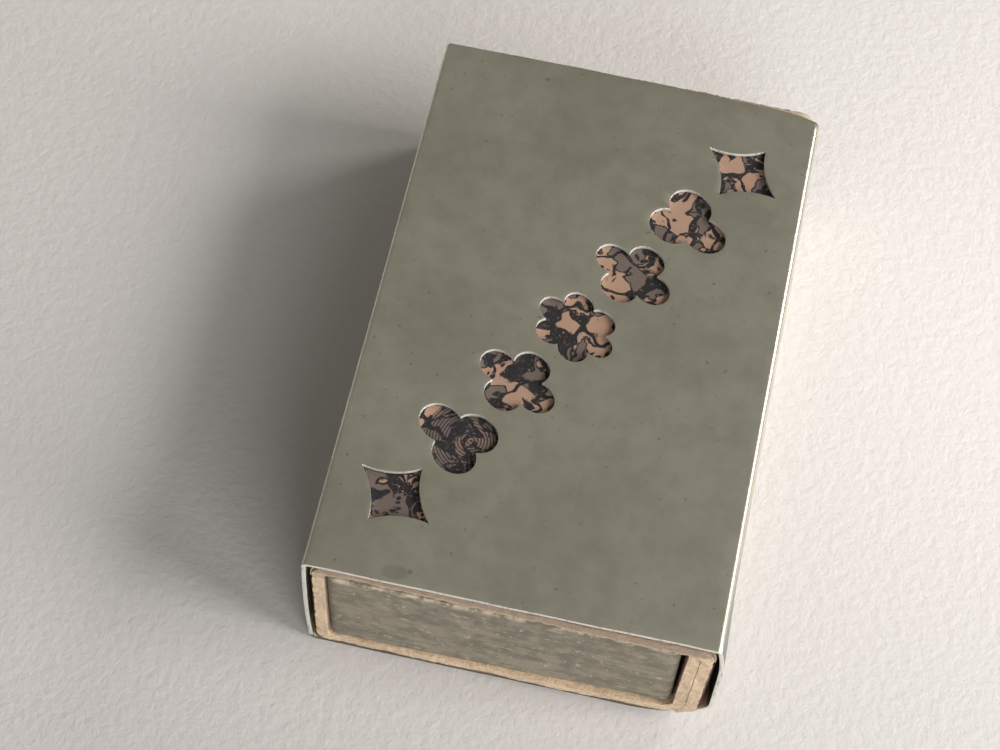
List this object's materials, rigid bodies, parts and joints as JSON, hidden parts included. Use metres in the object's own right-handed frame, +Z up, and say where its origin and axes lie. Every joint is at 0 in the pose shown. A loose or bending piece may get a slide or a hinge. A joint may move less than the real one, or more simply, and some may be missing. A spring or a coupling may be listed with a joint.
{
  "type": "matchbox case",
  "caption": "Thin silver sleeve, open at both ends and pierced with a diagonal row of flower motifs, over a card matchbox with a sliding tray.",
  "frame": {"origin": "middle of the whole object's box, on the surface it stands on", "axes": "+X to the right across the plate, +Y along the sleeve to its back end, +Z up out of the pierced plate; the end shown to the viewer looks towards -Y"},
  "size_m": [0.0386, 0.0586, 0.0175],
  "materials": {
    "silver": "worn polished silver sheet, fine scratches, dull grey-green tarnish",
    "pulp_card": "raw pulp card with fibrous cut edges",
    "printed_paper": "dusty pink paper printed in charcoal and mauve grey",
    "striker": "rough dark brown friction coat",
    "tray_paper": "olive grey scuffed paper face on card",
    "match_wood": "raw split softwood",
    "match_head": "matt dried ignition paste"
  },
  "bodies": {
    "case": {"case_sleeve": "silver"},
    "matchbox": {"box_cover": "pulp_card", "cover_label": "printed_paper", "striker_left": "striker", "striker_right": "striker"},
    "drawer": {"tray": "tray_paper", "match_stick_01": "match_wood", "match_stick_02": "match_wood", "match_stick_03": "match_wood", "match_stick_04": "match_wood", "match_stick_05": "match_wood", "match_stick_06": "match_wood", "match_stick_07": "match_wood", "match_stick_08": "match_wood", "match_stick_09": "match_wood", "match_stick_10": "match_wood", "match_stick_11": "match_wood", "match_stick_12": "match_wood", "match_stick_13": "match_wood", "match_stick_14": "match_wood", "match_stick_15": "match_wood", "match_stick_16": "match_wood", "match_stick_17": "match_wood", "match_stick_18": "match_wood", "match_stick_19": "match_wood", "match_head_01": "match_head", "match_head_02": "match_head", "match_head_03": "match_head", "match_head_04": "match_head", "match_head_05": "match_head", "match_head_06": "match_head", "match_head_07": "match_head", "match_head_08": "match_head", "match_head_09": "match_head", "match_head_10": "match_head", "match_head_11": "match_head", "match_head_12": "match_head", "match_head_13": "match_head", "match_head_14": "match_head", "match_head_15": "match_head", "match_head_16": "match_head", "match_head_17": "match_head", "match_head_18": "match_head", "match_head_19": "match_head"}
  },
  "joints": [
    {"name": "box_slide", "type": "slide", "parent": "case", "child": "matchbox", "axis": [0, -1, 0], "range_m": [-0.05, 0.05]},
    {"name": "tray_slide", "type": "slide", "parent": "matchbox", "child": "drawer", "axis": [0, -1, 0], "range_m": [-0.044, 0.044]}
  ]
}
